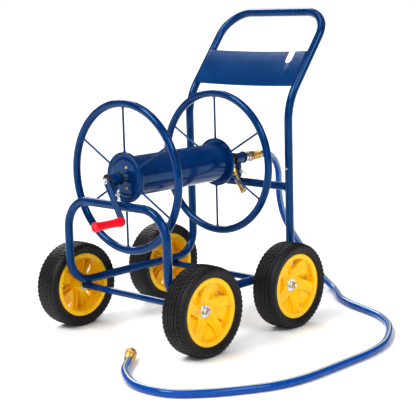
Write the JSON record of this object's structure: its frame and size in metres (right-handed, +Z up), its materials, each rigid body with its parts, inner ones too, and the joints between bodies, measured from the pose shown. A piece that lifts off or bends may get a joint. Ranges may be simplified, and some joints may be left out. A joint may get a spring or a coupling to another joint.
{
  "type": "garden hose reel cart",
  "caption": "Wheeled garden hose reel cart: a bent-tube frame on yellow-rimmed wheels, a hand-cranked blue reel, a leaning handle with a sheet panel, and a short lead-in hose.",
  "frame": {"origin": "on the ground, under the middle of the box round the cart without its lead-in hose", "axes": "+X is the cart's right side seen from its handle, -Y is the crank end, +Y is the handle end, +Z is up"},
  "size_m": [0.9479, 1.1452, 0.9357],
  "materials": {
    "frame_paint": "gloss powder coat, dark blue",
    "panel_paint": "gloss powder coat on sheet, blue",
    "reel_paint": "gloss powder coat, dark blue",
    "bush_plastic": "black moulded nylon",
    "rim_plastic": "yellow moulded plastic",
    "tyre_rubber": "black treaded rubber",
    "grip_plastic": "red moulded plastic",
    "zinc_steel": "bright zinc-plated steel",
    "brass": "turned brass",
    "hose": "blue hose with pale grey and yellow stripes"
  },
  "bodies": {
    "frame": {"lower_frame_tube": "frame_paint", "upper_handle_tube": "frame_paint", "handle_panel": "panel_paint", "rear_cross_tube": "frame_paint", "left_handle_screw": "zinc_steel", "right_handle_screw": "zinc_steel", "front_bearing_stub": "frame_paint", "front_bearing_sleeve": "frame_paint", "front_bearing_fore_bush": "bush_plastic", "front_bearing_aft_bush": "bush_plastic", "front_clamp_bolt": "zinc_steel", "front_wing_nut": "zinc_steel", "rear_bearing_stub": "frame_paint", "rear_bearing_sleeve": "frame_paint", "rear_bearing_fore_bush": "bush_plastic", "rear_bearing_aft_bush": "bush_plastic", "rear_clamp_bolt": "zinc_steel", "rear_wing_nut": "zinc_steel", "front_axle_tube": "frame_paint", "front_axle_rod": "zinc_steel", "rear_axle_tube": "frame_paint", "rear_axle_rod": "zinc_steel", "front_right_spacer": "zinc_steel", "front_right_washer": "zinc_steel", "front_right_nut": "zinc_steel", "rear_right_spacer": "zinc_steel", "rear_right_washer": "zinc_steel", "rear_right_nut": "zinc_steel", "front_left_spacer": "zinc_steel", "front_left_washer": "zinc_steel", "front_left_nut": "zinc_steel", "rear_left_spacer": "zinc_steel", "rear_left_washer": "zinc_steel", "rear_left_nut": "zinc_steel", "inlet_swivel_nut": "brass", "inlet_ferrule": "brass", "lead_hose": "hose", "hose_end_ferrule": "brass", "hose_end_coupling": "brass"},
    "reel": {"reel_shaft": "zinc_steel", "reel_drum": "reel_paint", "front_flange_plate": "reel_paint", "rear_flange_plate": "reel_paint", "front_flange_ring": "reel_paint", "rear_flange_ring": "reel_paint", "upper_plate_rivet": "brass", "lower_plate_rivet": "brass", "crank_arm": "reel_paint", "crank_bolt": "zinc_steel", "shaft_collar": "zinc_steel", "outlet_spout": "brass"},
    "crank_grip": {"crank_grip": "grip_plastic"},
    "front_right_wheel": {"front_right_tyre": "tyre_rubber", "front_right_rim": "rim_plastic"},
    "rear_right_wheel": {"rear_right_tyre": "tyre_rubber", "rear_right_rim": "rim_plastic"},
    "front_left_wheel": {"front_left_tyre": "tyre_rubber", "front_left_rim": "rim_plastic"},
    "rear_left_wheel": {"rear_left_tyre": "tyre_rubber", "rear_left_rim": "rim_plastic"}
  },
  "joints": [
    {"name": "reel_spin", "type": "hinge", "parent": "frame", "child": "reel", "pos_m": [0, -0.07285, 0.479], "axis": [0, 1, 0], "continuous": true},
    {"name": "grip_spin", "type": "hinge", "parent": "reel", "child": "crank_grip", "pos_m": [0.0606, -0.38955, 0.36967], "axis": [0, 1, 0], "continuous": true},
    {"name": "front_right_wheel_spin", "type": "hinge", "parent": "frame", "child": "front_right_wheel", "pos_m": [0.2655, -0.23685, 0.127], "axis": [1, 0, 0], "continuous": true},
    {"name": "rear_right_wheel_spin", "type": "hinge", "parent": "frame", "child": "rear_right_wheel", "pos_m": [0.2655, 0.13715, 0.127], "axis": [1, 0, 0], "continuous": true},
    {"name": "front_left_wheel_spin", "type": "hinge", "parent": "frame", "child": "front_left_wheel", "pos_m": [-0.2655, -0.23685, 0.127], "axis": [1, 0, 0], "continuous": true},
    {"name": "rear_left_wheel_spin", "type": "hinge", "parent": "frame", "child": "rear_left_wheel", "pos_m": [-0.2655, 0.13715, 0.127], "axis": [1, 0, 0], "continuous": true}
  ]
}
